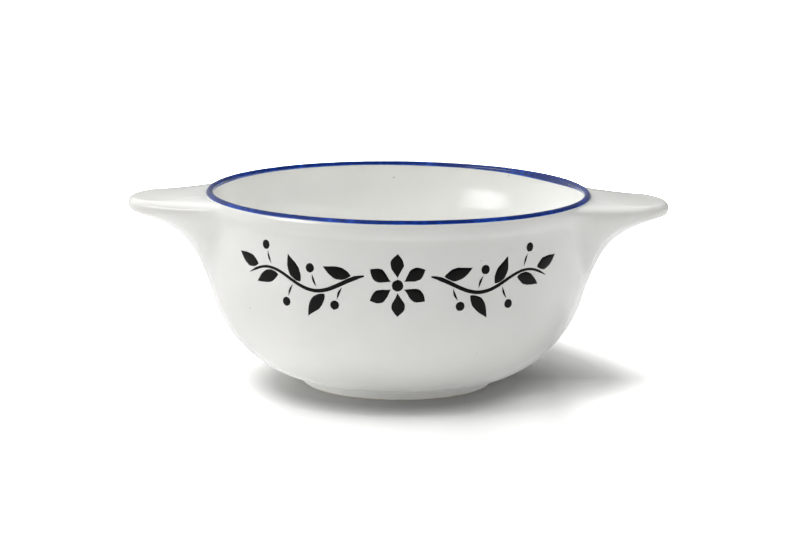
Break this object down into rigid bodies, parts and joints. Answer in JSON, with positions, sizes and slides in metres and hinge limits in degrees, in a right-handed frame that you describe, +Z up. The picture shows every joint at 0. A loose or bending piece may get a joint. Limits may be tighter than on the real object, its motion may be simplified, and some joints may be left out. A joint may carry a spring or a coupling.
{
  "type": "lug bowl",
  "caption": "Round glazed earthenware bowl on a foot ring, with flat ears beside the lip, a blue line round the lip and a black brushed garland on its front.",
  "frame": {"origin": "middle of the circle on which the foot ring stands", "axes": "+X through the right ear, -Y out of the front with the garland, +Z up"},
  "size_m": [0.189, 0.135, 0.0681],
  "materials": {
    "clay": "unglazed fired clay",
    "glaze": "glossy white tin glaze",
    "blue": "cobalt blue brushed under the gloss",
    "black": "black brushed under the gloss"
  },
  "bodies": {
    "root": {"bowl_body": "clay", "foot_ring": "clay", "left_ear": "clay", "right_ear": "clay", "outer_glaze": "glaze", "inner_glaze": "glaze", "left_ear_glaze": "glaze", "right_ear_glaze": "glaze", "rim_line": "blue", "garland_stem": "black", "garland_leaves": "black", "garland_berries": "black", "garland_flower": "black"}
  },
  "joints": []
}
